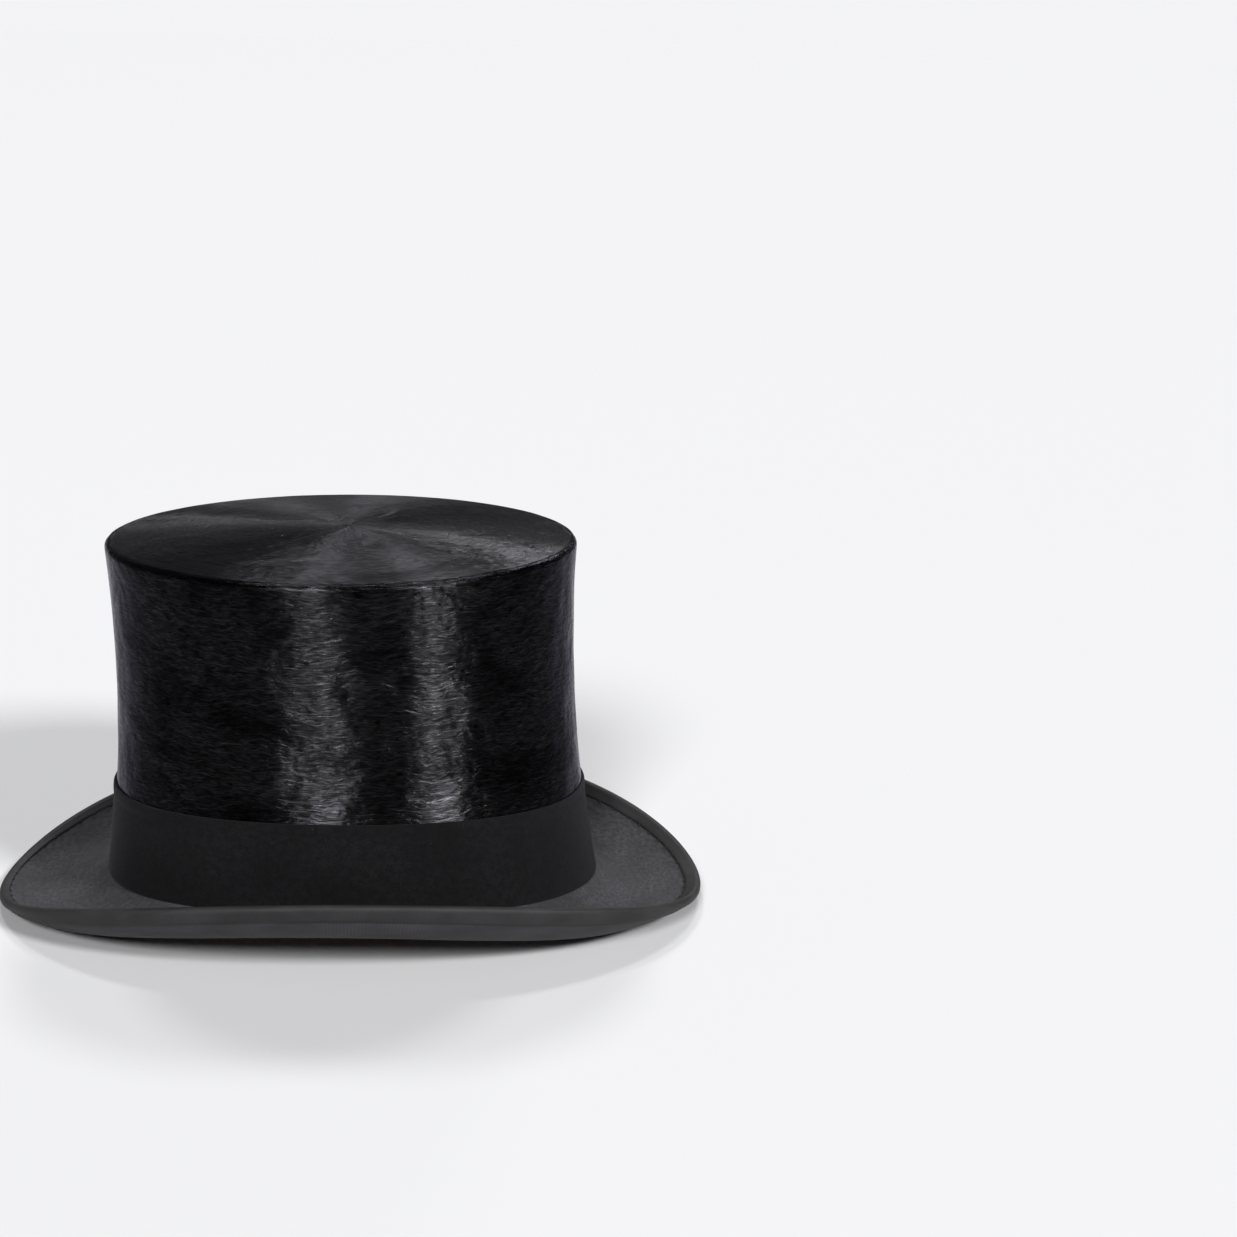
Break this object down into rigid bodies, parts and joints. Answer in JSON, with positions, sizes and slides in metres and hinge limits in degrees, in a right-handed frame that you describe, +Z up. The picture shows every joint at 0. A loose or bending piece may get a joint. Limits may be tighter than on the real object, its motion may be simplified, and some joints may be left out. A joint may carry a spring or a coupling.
{
  "type": "silk top hat",
  "caption": "Rigid silk plush top hat with an oval waisted crown, a domed tip, a wide cloth band and a brim rolled up at the sides.",
  "frame": {"origin": "on the surface that the brim rests on, under the middle of the brim", "axes": "+X out of the front of the hat, +Y to the wearer's left, +Z up through the tip"},
  "size_m": [0.3068, 0.2108, 0.1652],
  "materials": {
    "silk_plush": "glossy silk plush with a brushed nap, nearly black",
    "gossamer": "linen gossamer stiffened with shellac",
    "brim_cloth": "fine matt wool cloth, dark grey black",
    "ribbon": "ribbed grosgrain ribbon, black",
    "band_cloth": "matt black wool cloth",
    "black_thread": "black sewing thread",
    "sweatband_leather": "fine tan skiver leather",
    "pale_thread": "pale sewing thread",
    "reed": "thin round cane reed",
    "oilcloth": "oilcloth, dark brown",
    "satin": "ivory satin lining",
    "bow_ribbon": "narrow black satin ribbon",
    "card": "thin blank card"
  },
  "bodies": {
    "root": {"crown_side_shell": "gossamer", "tip_board": "gossamer", "robbin_strip": "gossamer", "brim_plank": "gossamer", "brim_top_cover": "brim_cloth", "brim_under_cover": "brim_cloth", "brim_edge_binding": "ribbon", "binding_stitches": "black_thread", "side_plush": "silk_plush", "tip_plush": "silk_plush", "cloth_band": "band_cloth", "band_lap_stitches": "black_thread", "side_lining": "satin", "tip_lining": "satin", "tip_lining_cord": "satin", "sweatband_leather": "sweatband_leather", "sweatband_reed": "reed", "reed_welt": "oilcloth", "sweatband_stitches": "pale_thread", "sweatband_join_stitches": "pale_thread", "sweatband_bow_loops": "bow_ribbon", "sweatband_bow_wrap": "bow_ribbon", "size_ticket": "card"}
  },
  "joints": []
}
